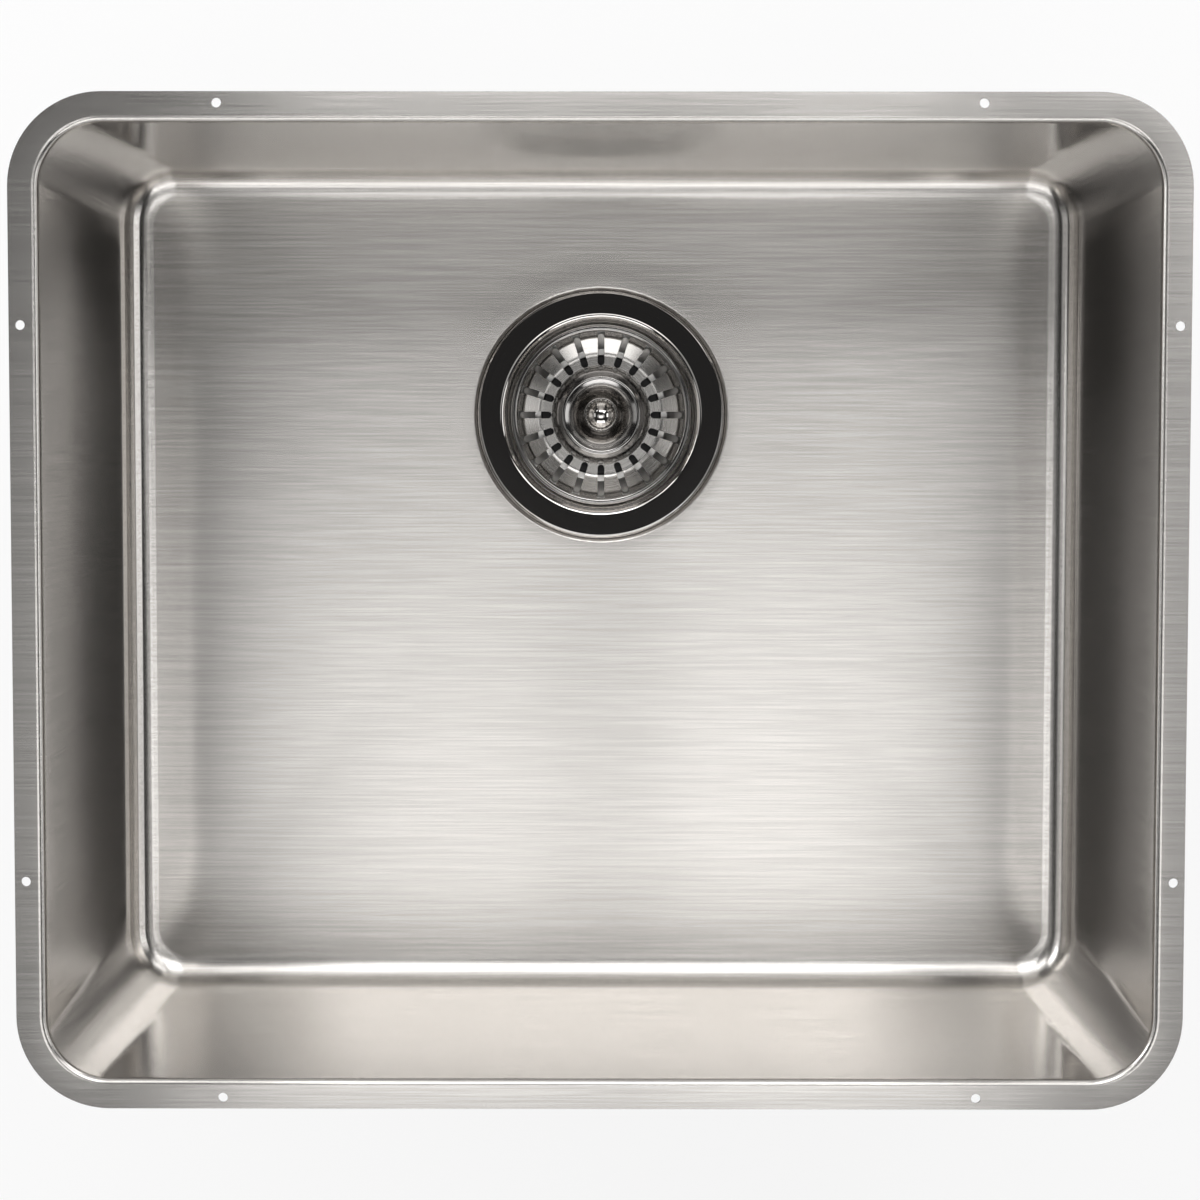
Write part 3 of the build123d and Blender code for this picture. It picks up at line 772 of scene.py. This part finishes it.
@dataclass
class Bowl:
    """Pressed bowl with its rim, drain recess and punched rim holes."""

    sheet: float = 1.2 * MM
    corner_radius: float = 25 * MM
    rim_width: float = 12 * MM
    rim_bend: float = 1.6 * MM           # radius of the sheet's lower face where the rim folds out
    rim_edge_strip: float = 0.4 * MM     # flat strip that holds the rim's edge under smooth shading
    floor_bend: float = 13 * MM
    wall_lean: float = 0.4 * MM          # how much narrower the walls are at their foot
    floor_fall: float = 1.2 * MM         # from the foot of the walls to the drain recess
    depth: float = 200 * MM
    recess_depth: float = 2.4 * MM
    recess_foot: float = 57.6 * MM
    recess_slope: float = 1.5 * MM
    recess_edge: float = 0.9 * MM
    recess_strip: float = 6 * MM         # level strip of the floor round the recess
    drain_hole: float = 46.4 * MM
    hole_radius: float = 1.9 * MM
    hole_from_edge: float = 4.4 * MM
    long_side_holes: float = 300 * MM
    short_side_holes: float = 220 * MM
    bend_step: float = radians(6)        # between two rings of the wall's bends
    recess_step: float = radians(9)
    hole_steps: int = 32
    side_steps: int = 22
    corner_steps: int = 18
    floor_rings: int = 16
    texture_distance: float = 1000.0

    half: Vector = field(init=False)

    def __post_init__(self) -> None:
        """Reads the opening's size from the frame."""
        low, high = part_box("bowl")
        self.half = (high - low) / 2 - Vector((self.rim_width, self.rim_width, 0))

    def ring(self, inset: float, height: float) -> Ring:
        """Rounded rectangle at a distance inside the walls.

        Args:
            inset: Distance inwards from the upper edge of the walls; negative is outwards.
            height: The ring's height.

        Returns:
            Its points, anticlockwise from the rear right corner.
        """
        radius = self.corner_radius - inset
        centre_x = self.half.x - self.corner_radius
        centre_y = self.half.y - self.corner_radius
        points = []
        for quarter in range(4):
            sign_x, sign_y = ((1, 1), (-1, 1), (-1, -1), (1, -1))[quarter]
            for step in range(self.corner_steps):
                angle = pi / 2 * (quarter + step / self.corner_steps)
                points.append((sign_x * centre_x + radius * cos(angle),
                               sign_y * centre_y + radius * sin(angle), height))
            last = pi / 2 * (quarter + 1)
            start = Vector((sign_x * centre_x + radius * cos(last), sign_y * centre_y + radius * sin(last)))
            next_x, next_y = ((-1, 1), (-1, -1), (1, -1), (1, 1))[quarter]
            end = Vector((next_x * centre_x + radius * cos(last), next_y * centre_y + radius * sin(last)))
            for step in range(self.side_steps):
                spot = start.lerp(end, step / self.side_steps)
                points.append((spot.x, spot.y, height))
        return points

    def drain_ring(self, radius: float, height: float) -> Ring:
        """Circle round the drain whose points face those of the rings.

        Args:
            radius: The circle's radius.
            height: Its height.

        Returns:
            Its points.
        """
        _, axis_x, axis_y = drain_axis()
        points = []
        for x, y, _ in self.ring(self.floor_bend, 0.0):
            reach = hypot(x - axis_x, y - axis_y)
            points.append((axis_x + radius * (x - axis_x) / reach,
                           axis_y + radius * (y - axis_y) / reach, height))
        return points

    def floor(self, edge: Ring, mouth: Ring) -> list[Ring]:
        """Rings between the foot of the walls and the drain recess, falling gently to the drain.

        Args:
            edge: The last ring of the walls' bend.
            mouth: The first ring of the recess.

        Returns:
            The rings in order, without those two.
        """
        rings = []
        for index in range(1, self.floor_rings):
            share = index / self.floor_rings
            fall = 3 * share ** 2 - 2 * share ** 3
            rings.append([(a[0] + (b[0] - a[0]) * share, a[1] + (b[1] - a[1]) * share,
                           a[2] + (b[2] - a[2]) * fall) for a, b in zip(edge, mouth)])
        return rings

    def face_rings(self, offset: float) -> list[Ring]:
        """Rings of one face of the sheet from the rim's edge to the drain hole.

        Args:
            offset: 0 for the inside, the sheet's thickness for the outside.

        Returns:
            The rings in order.
        """
        inner_bend = self.rim_bend + self.sheet - offset
        lean = self.wall_lean
        bend_end = lean + self.floor_bend
        foot = -self.depth + self.floor_fall - offset
        section = rounded_path(
            [(-self.rim_width, -offset), (-self.rim_width + self.rim_edge_strip, -offset),
             (-offset, -offset), (lean - offset, foot), (2 * bend_end, foot)],
            [0.0, inner_bend, self.floor_bend + offset], self.bend_step)
        wall = [(inset, z) for inset, z in section if z > foot + TINY or inset < bend_end + TINY]
        rings = [self.ring(inset, z) for inset, z in wall]
        floor_edge = rings[-1]
        upper = -self.depth - offset
        lower = upper - self.recess_depth
        dish = rounded_path(
            [(self.recess_foot + self.recess_slope + self.recess_strip, upper),
             (self.recess_foot + self.recess_slope + offset, upper),
             (self.recess_foot + offset, lower), (self.drain_hole, lower)],
            [self.recess_edge + offset, self.recess_edge], self.recess_step)
        rings += self.floor(floor_edge, self.drain_ring(*dish[0]))
        rings += [self.drain_ring(radius, z) for radius, z in dish]
        return rings

    def hole_cutters(self) -> list[bpy.types.Object]:
        """Cylinders at the punched holes of the rim.

        Returns:
            One cutter for each hole.
        """
        x = self.half.x + self.rim_width - self.hole_from_edge
        y = self.half.y + self.rim_width - self.hole_from_edge
        places = [(sx * self.long_side_holes / 2, sy * y) for sx in (-1, 1) for sy in (-1, 1)]
        places += [(sx * x, sy * self.short_side_holes / 2) for sx in (-1, 1) for sy in (-1, 1)]
        angles = [FULL_TURN * k / self.hole_steps for k in range(self.hole_steps)]
        circle = [(self.hole_radius * cos(angle), self.hole_radius * sin(angle)) for angle in angles]
        return [prism(f"hole_{index}", [(hole_x + dx, hole_y + dy) for dx, dy in circle],
                      -3 * self.sheet, 2 * self.sheet)
                for index, (hole_x, hole_y) in enumerate(places)]

    def turn_blur(self, piece: bpy.types.Object) -> None:
        """Moves the texture space far along Y, so that the gloss blurs across lines that run along X.

        Args:
            piece: The bowl.
        """
        piece.data.use_auto_texspace = False
        piece.data.texspace_location = (0.0, self.texture_distance, 0.0)
        piece.data.texspace_size = (1.0, 1.0, 1.0)

    def build(self) -> bpy.types.Object:
        """Builds and dresses the bowl.

        Returns:
            The piece.
        """
        inside = self.face_rings(0.0)
        outside = self.face_rings(self.sheet)
        rings = inside + outside[::-1]
        count = len(inside[0])
        vertices = [point for ring in rings for point in ring]
        faces = []
        owner = []
        for row in range(len(rings)):
            below = (row + 1) % len(rings)
            for step in range(count):
                after = (step + 1) % count
                faces.append([row * count + step, row * count + after,
                              below * count + after, below * count + step])
                owner.append(0 if row < len(inside) - 1 else 1)     # brushed inside, mill finish outside
        piece = mesh_piece("bowl_sheet", vertices, faces)
        piece.data.materials.append(BrushedSheet(self.half.x, self.half.y, self.corner_radius).build())
        piece.data.materials.append(MillSheet().build())
        for polygon, index in zip(piece.data.polygons, owner):
            polygon.material_index = index
        cut(piece, [merged("rim_holes", self.hole_cutters())])
        soften(piece)
        self.turn_blur(piece)
        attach(piece, Body.SINK.value)
        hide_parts("bowl")
        log.info("bowl_sheet: %d faces", len(piece.data.polygons))
        return piece


# --------------------------------------------------------------------------- strainer


@dataclass
class StrainerCup:
    """Pressed cup with the wide flange that lies in the drain recess."""

    sheet: float = 0.8 * MM
    edge_drop: float = 1.3 * MM
    edge_radius: float = 0.7 * MM
    mouth_radius: float = 45.6 * MM
    mouth_edge: float = 2.4 * MM
    throat_radius: float = 42.4 * MM
    throat_depth: float = 6.6 * MM
    wall_depth: float = 20 * MM
    wall_taper: float = 0.5 * MM
    corner: float = 6 * MM
    seat_depth: float = 28 * MM
    seat_outer: float = 31.5 * MM
    seat_inner: float = 25.5 * MM
    seat_edge: float = 1.4 * MM
    hub_depth: float = 38 * MM
    hub_radius: float = 24 * MM
    screw_hole: float = 3.3 * MM
    slots: int = 6
    slot_width: float = 8 * MM
    slot_reach: float = 15.5 * MM
    slot_sweep: float = radians(26)
    slot_steps: int = 12
    satin_and_painted_light_radius: float = 43 * MM        # the cup is satin inside this radius
    segments: int = 192

    def slot_outline(self, turn: float) -> list[Point]:
        """Kidney-shaped outline about the drain axis.

        Args:
            turn: Where it stands round the axis, in radians.

        Returns:
            Its points.
        """
        _, axis_x, axis_y = drain_axis()
        half = self.slot_width / 2
        points: list[Point] = []
        for centre, low in ((self.slot_sweep / 2, 0.0), (-self.slot_sweep / 2, pi)):
            for step in range(self.slot_steps + 1):
                angle = turn + centre + low + pi * step / self.slot_steps
                points.append((axis_x + self.slot_reach * cos(turn + centre) + half * cos(angle),
                               axis_y + self.slot_reach * sin(turn + centre) + half * sin(angle)))
        return points

    def build(self) -> bpy.types.Object:
        """Builds and dresses the cup.

        Returns:
            The piece.
        """
        flange, _, _ = drain_axis()
        _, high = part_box("strainer_cup")
        top = high.z
        path = rounded_path(
            [(flange, top - self.edge_drop), (flange, top), (self.mouth_radius, top),
             (self.throat_radius, top - self.throat_depth),
             (self.throat_radius - self.wall_taper, top - self.wall_depth),
             (self.seat_outer, top - self.seat_depth), (self.seat_inner, top - self.seat_depth),
             (self.hub_radius, top - self.hub_depth), (self.screw_hole, top - self.hub_depth)],
            [self.edge_radius, self.mouth_edge, self.mouth_edge, self.corner,
             self.seat_edge, self.seat_edge, self.seat_edge])
        piece = turned_piece("strainer_cup_steel", held(thickened(path, self.sheet)), self.segments)
        hub = top - self.hub_depth
        cutters = [prism(f"drain_slot_{k}", self.slot_outline(FULL_TURN * k / self.slots),
                         hub - 3 * self.sheet, hub + 2 * self.sheet) for k in range(self.slots)]
        cut(piece, [merged("drain_slots", cutters)])
        soften(piece)
        # painted light: the cup's satin inside is near white, far brighter than steel, standing in for the
        # light seen through the basket's slots
        piece.data.materials.append(
            TurnedSteel("strainer_steel", (0.55, 0.53, 0.51), 0.05, anisotropy=0.0, line_height=2e-7,
                        satin_and_painted_light_ring=(0.0, self.satin_and_painted_light_radius), satin_roughness=0.38,
                        satin_painted_light=(0.93, 0.91, 0.88)).build())
        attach(piece, Body.SINK.value)
        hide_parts("strainer_cup")
        log.info("strainer_cup_steel: %d faces", len(piece.data.polygons))
        return piece


@dataclass
class Basket:
    """Pressed basket with its ring of slots, and the ball knob."""

    sheet: float = 0.7 * MM
    rim_roll: float = 1.9 * MM
    rim_drop: float = 1.7 * MM
    rim_rounding: float = 0.45           # of the rolled rim's two edges, as a share of its width
    wall_height: float = 13.5 * MM
    wall_taper: float = 2.1 * MM
    floor_drop: float = 4.0 * MM
    corner: float = 2.6 * MM
    flat_radius: float = 29 * MM
    flat_blend: float = 6 * MM
    foot_radius: float = 22.8 * MM
    foot_fillet: float = 0.6 * MM
    shoulder_radius: float = 21.4 * MM
    shoulder_height: float = 4.4 * MM
    shoulder_fillet: float = 4.0 * MM
    ridge_radius: float = 17.6 * MM
    ridge_fillet: float = 1.3 * MM
    boss_height: float = 6.5 * MM
    dish_depth: float = 3.6 * MM
    dish_flat: float = 8.6 * MM
    dish_blend: float = 7.0 * MM
    stem_hole: float = 3.2 * MM
    slots: int = 20
    slot_width: float = 3.2 * MM
    slot_inner: float = 23.4 * MM
    slot_outer: float = 38.0 * MM
    slot_steps: int = 10
    satin_and_painted_light_ring: Point = (22.6 * MM, 36.8 * MM)       # the slotted part of the floor
    neck_radius: float = 4.6 * MM
    neck_height: float = 1.0 * MM
    crown_radius: float = 3.0 * MM
    ball_steps: int = 40
    ball_sharp: float = radians(50)
    shell_segments: int = 240
    ball_segments: int = 96

    def slot_outline(self, turn: float) -> list[Point]:
        """Outline of a round-ended radial slot.

        Args:
            turn: Where it stands round the axis, in radians.

        Returns:
            Its points.
        """
        _, axis_x, axis_y = drain_axis()
        half = self.slot_width / 2
        points: list[Point] = []
        for reach, low in ((self.slot_outer - half, -pi / 2), (self.slot_inner + half, pi / 2)):
            for step in range(self.slot_steps + 1):
                angle = low + pi * step / self.slot_steps
                along = reach + half * cos(angle)
                across = half * sin(angle)
                points.append((axis_x + along * cos(turn) - across * sin(turn),
                               axis_y + along * sin(turn) + across * cos(turn)))
        return points

    def build_shell(self) -> bpy.types.Object:
        """Builds and dresses the slotted shell.

        Returns:
            The piece.
        """
        low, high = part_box("basket_shell")
        rim = (high.x - low.x) / 2
        top = high.z
        wall_top = rim - self.rim_roll
        foot = top - self.wall_height
        floor = foot - self.floor_drop
        dish = floor + self.boss_height - self.dish_depth
        roll = self.rim_roll * self.rim_rounding
        path = rounded_path(
            [(rim, top - self.rim_drop), (rim, top), (wall_top, top), (wall_top - self.wall_taper, foot),
             (self.flat_radius, floor), (self.foot_radius, floor),
             (self.shoulder_radius, floor + self.shoulder_height),
             (self.ridge_radius, floor + self.boss_height), (self.dish_flat, dish), (self.stem_hole, dish)],
            [roll, roll, self.corner, self.flat_blend, self.foot_fillet, self.shoulder_fillet,
             self.ridge_fillet, self.dish_blend])
        piece = turned_piece("basket_shell_steel", held(thickened(path, self.sheet)), self.shell_segments)
        cutters = [prism(f"slot_{k}", self.slot_outline(pi / 2 + FULL_TURN * k / self.slots),
                         floor - 3 * self.sheet, top - self.rim_drop) for k in range(self.slots)]
        cut(piece, [merged("basket_slots", cutters)])
        soften(piece)
        # painted shade: the basket's steel is darkened to stand in for the dark reflections on its boss and
        # rim; the slotted ring keeps a lighter painted tone
        piece.data.materials.append(
            TurnedSteel("basket_steel", (0.36, 0.35, 0.34), 0.12, anisotropy=0.0, line_height=2e-7,
                        satin_and_painted_light_ring=self.satin_and_painted_light_ring, satin_roughness=0.27,
                        satin_painted_light=(0.50, 0.485, 0.465)).build())
        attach(piece, Body.BASKET.value)
        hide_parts("basket_shell")
        log.info("basket_shell_steel: %d faces", len(piece.data.polygons))
        return piece

    def build_knob(self) -> bpy.types.Object:
        """Builds and dresses the ball knob.

        Returns:
            The piece.
        """
        low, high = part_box("knob")
        radius = (high.x - low.x) / 2
        centre = high.z - sqrt(radius ** 2 - self.crown_radius ** 2)
        neck_top = low.z + self.neck_height
        outline: list[Point] = [(0.0, low.z), (self.neck_radius, low.z), (self.neck_radius, neck_top)]
        first = -acos(min(1.0, self.neck_radius / radius))
        for step in range(self.ball_steps + 1):
            angle = first + (pi / 2 - first) * step / self.ball_steps
            reach = radius if angle < 0 else high.z - centre
            z = centre + reach * sin(angle)
            if z > neck_top + TINY:
                outline.append((radius * cos(angle) if step < self.ball_steps else 0.0, z))
        piece = turned_piece("knob_ball", outline, self.ball_segments)
        soften(piece, self.ball_sharp)
        piece.data.materials.append(
            TurnedSteel("knob_steel", (0.70, 0.68, 0.655), 0.07, anisotropy=0.0, line_height=1e-7).build())
        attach(piece, Body.BASKET.value)
        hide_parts("knob")
        log.info("knob_ball: %d faces", len(piece.data.polygons))
        return piece

    def build(self) -> None:
        """Builds the shell and the knob."""
        self.build_shell()
        self.build_knob()


# --------------------------------------------------------------------------- carried-over pieces


class SmallParts:
    """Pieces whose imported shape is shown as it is, each with its own finish."""

    def finishes(self) -> dict[str, tuple[bpy.types.Material, tuple[str, ...]]]:
        """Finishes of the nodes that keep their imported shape.

        Returns:
            Material and nodes for each of the record's slots.
        """
        pads = tuple(f"floor_pad_{side}" for side in ("left", "right", "front"))
        pads += tuple(f"wall_pad_{side}" for side in ("left", "right", "front", "rear"))
        hardware = TurnedSteel("hardware_steel", (0.56, 0.55, 0.53), 0.26)
        plastic = Moulded("body_plastic", (0.022, 0.022, 0.024), 0.42)
        acetal = Moulded("ring_plastic", (0.78, 0.78, 0.74), 0.3, grain_height=2e-6, mottle=0.03)
        brass = TurnedSteel("insert_brass", (0.72, 0.53, 0.26), 0.24)
        rubber = Moulded("seal_rubber", (0.018, 0.018, 0.019), 0.55, mottle=0.35)
        return {
            "pad_rubber": (DampingSheet().build(), pads),
            "hardware_steel": (hardware.build(), ("collar_washer", "stem", "seal_top_plate",
                                                  "seal_bottom_washer", "stem_nut", "clamp_screw")),
            "body_plastic": (plastic.build(), ("waste_body", "outlet_spigot", "screw_boss")),
            "ring_plastic": (acetal.build(), ("catch_ring", "spacer_sleeve")),
            "insert_brass": (brass.build(), ("screw_insert",)),
            "seal_rubber": (rubber.build(), ("seal_disc", "flange_seal", "body_gasket")),
        }

    def build(self) -> None:
        """Dresses the nodes."""
        for slot, (material, nodes) in self.finishes().items():
            for name in nodes:
                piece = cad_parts[name]
                piece.data.materials.clear()
                piece.data.materials.append(material)
                soften(piece)
                log.info("%s: %s", name, slot)


# --------------------------------------------------------------------------- studio


class BoxShape(Enum):
    """Outline of a studio light."""

    SQUARE = "RECTANGLE"
    ROUND = "ELLIPSE"


@dataclass(frozen=True)
class SoftBox:
    """One studio light that points at the bowl."""

    name: str
    shape: BoxShape
    azimuth: float            # degrees from +X towards +Y
    elevation: float          # degrees above the rim
    width: float
    height: float
    power: float
    distance: float = 2.0
    target: tuple[float, float, float] = (0.0, 0.0, -0.05)

    def build(self) -> bpy.types.Object:
        """Adds the light.

        Returns:
            The light.
        """
        lamp = bpy.data.lights.new(self.name, "AREA")
        lamp.shape = self.shape.value
        lamp.size = self.width
        lamp.size_y = self.height
        lamp.energy = self.power
        light = bpy.data.objects.new(self.name, lamp)
        bpy.context.scene.collection.objects.link(light)
        turn = radians(self.azimuth)
        rise = radians(self.elevation)
        away = Vector((cos(turn) * cos(rise), sin(turn) * cos(rise), sin(rise))) * self.distance
        light.location = Vector(self.target) + away
        light.rotation_euler = (-away).to_track_quat("-Z", "Y").to_euler()
        return light


@dataclass
class Studio:
    """Pale floor that rises into a low round backdrop, soft light above, dim surroundings."""

    floor_drop: float = 2 * MM
    floor_radius: float = 3.0
    cove_radius: float = 0.35
    backdrop_height: float = 1.3
    pale: float = 0.86
    shadow_share: float = 0.15       # how much of the floor's own shading the camera sees
    surroundings: float = 0.03
    segments: int = 96
    boxes: tuple[SoftBox, ...] = (
        SoftBox("left_rear_low_box", BoxShape.SQUARE, 150, 25, 0.9, 0.9, 13.25),
        SoftBox("right_rear_low_box", BoxShape.SQUARE, 60, 25, 0.9, 0.9, 7.0),
        SoftBox("front_box", BoxShape.SQUARE, -90, 42, 1.8, 0.6, 10.5),
        SoftBox("right_box", BoxShape.SQUARE, 0, 38, 0.8, 0.9, 4.3),
        SoftBox("rear_box", BoxShape.SQUARE, 90, 42, 0.8, 0.8, 3.35),
        SoftBox("left_rear_box", BoxShape.SQUARE, 120, 42, 0.8, 0.8, 6.2),
        SoftBox("left_box", BoxShape.SQUARE, 180, 42, 0.8, 0.8, 1.42),
        SoftBox("right_rear_box", BoxShape.SQUARE, 54, 57, 0.7, 0.7, 4.1),
        SoftBox("rear_high_box", BoxShape.SQUARE, 90, 57, 0.7, 0.7, 5.4),
        SoftBox("rear_top_box", BoxShape.ROUND, 90, 62.5, 0.9, 0.4, 2.0),
        SoftBox("high_right_box", BoxShape.ROUND, -30, 75, 0.8, 0.8, 1.0),
        SoftBox("high_left_box", BoxShape.ROUND, 210, 75, 0.8, 0.8, 0.75),
        SoftBox("high_front_box", BoxShape.ROUND, -90, 76, 1.0, 0.6, 1.5),
        SoftBox("top_front_box", BoxShape.ROUND, -90, 81, 0.9, 0.35, 1.35),
    )

    def floor_material(self) -> bpy.types.Material:
        """Pale paint that the camera, gloss and glass see as white but for the object's shadow.

        Returns:
            The material.
        """
        graph = Graph("studio_floor")
        paint = graph.principled({"Base Color": (self.pale, self.pale, self.pale, 1.0), "Roughness": 0.7})
        glow = graph.add("ShaderNodeEmission", None, {"Color": (1.0, 1.0, 1.0, 1.0), "Strength": 1.0})
        path = graph.tree.nodes.new("ShaderNodeLightPath").outputs
        seen = Value(graph, path["Is Camera Ray"])
        for other in ("Is Glossy Ray", "Is Transmission Ray"):
            seen = seen.larger(Value(graph, path[other]))
        factor = seen * (1 - self.shadow_share)
        return graph.finish(graph.add("ShaderNodeMixShader", None, {0: factor, 1: paint, 2: glow}))

    def build_floor(self) -> None:
        """Adds the floor below the outlet and the backdrop round it."""
        low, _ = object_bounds()
        z = low[2] - self.floor_drop
        top = z + self.backdrop_height
        section = rounded_path(
            [(0.0, z), (self.floor_radius, z), (self.floor_radius, top)], [self.cove_radius])
        segments = self.segments
        angles = [FULL_TURN * k / segments for k in range(segments)]
        vertices = [(0.0, 0.0, z)]
        for reach, height in section[1:]:
            vertices += [(reach * cos(angle), reach * sin(angle), height) for angle in angles]
        faces = [[0, 1 + k, 1 + (k + 1) % segments] for k in range(segments)]
        for row in range(len(section) - 2):
            inner = 1 + row * segments
            outer = inner + segments
            faces += [[inner + k, inner + (k + 1) % segments, outer + (k + 1) % segments, outer + k]
                      for k in range(segments)]
        floor = mesh_piece("studio_floor", vertices, faces)
        floor.data.materials.append(self.floor_material())
        floor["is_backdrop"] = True

    def build_world(self) -> None:
        """Dim grey surroundings above the backdrop."""
        world = bpy.data.worlds.new("studio")
        bpy.context.scene.world = world
        world.use_nodes = True
        tree = world.node_tree
        tree.nodes.clear()
        dim = tree.nodes.new("ShaderNodeBackground")
        dim.inputs[0].default_value = (self.surroundings, self.surroundings, self.surroundings, 1.0)
        output = tree.nodes.new("ShaderNodeOutputWorld")
        tree.links.new(dim.outputs[0], output.inputs["Surface"])

    def build(self) -> None:
        """Builds floor, world and lights."""
        self.build_floor()
        self.build_world()
        for box in self.boxes:
            box.build()
        log.info("studio: %d soft boxes", len(self.boxes))


@dataclass
class PhotoCamera:
    """Camera above the bowl at the photograph's viewing angle."""

    focal_pixels: float = 2887.0       # for a frame 1200 pixels wide
    frame_pixels: float = 1200.0
    pull_back: float = 0.955           # share of the lens; leaves room for the rim round the opening
    place: tuple[float, float, float] = (2.5 * MM, 65.2 * MM, 1085.3 * MM)
    turns: tuple[float, float, float] = (3.32, -0.13, -0.06)     # degrees about X, Y and Z
    sensor: float = 36.0               # the sensor's width in millimetres
    clip_start: float = 10 * MM

    def build(self) -> bpy.types.Object:
        """Adds the camera and makes it the scene's.

        Returns:
            The camera.
        """
        data = bpy.data.cameras.new("photo_camera")
        data.sensor_width = self.sensor
        data.lens = self.focal_pixels * self.pull_back / self.frame_pixels * self.sensor
        data.clip_start = self.clip_start
        camera = bpy.data.objects.new("photo_camera", data)
        bpy.context.scene.collection.objects.link(camera)
        pitch, yaw, roll = (radians(turn) for turn in self.turns)
        to_camera = Matrix.Rotation(pitch, 3, "X") @ Matrix.Rotation(yaw, 3, "Y")
        to_camera = to_camera @ Matrix.Rotation(roll, 3, "Z")
        camera.matrix_world = Matrix.Translation(Vector(self.place)) @ to_camera.transposed().to_4x4()
        bpy.context.scene.camera = camera
        log.info("camera: lens %.1f mm", data.lens)
        return camera


def corners(bounds: Any) -> list[list[float]]:
    """Lowest and highest corner of a box as plain lists."""
    return [[float(number) for number in corner] for corner in bounds]


def main() -> None:
    """Builds the whole scene around the frame."""
    logging.basicConfig(level=logging.INFO, format="%(name)s %(message)s")
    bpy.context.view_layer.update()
    bpy.context.scene.view_settings.view_transform = "Standard"
    Bowl().build()
    StrainerCup().build()
    Basket().build()
    SmallParts().build()
    Studio().build()
    PhotoCamera().build()


if __name__ == "__main__":
    main()
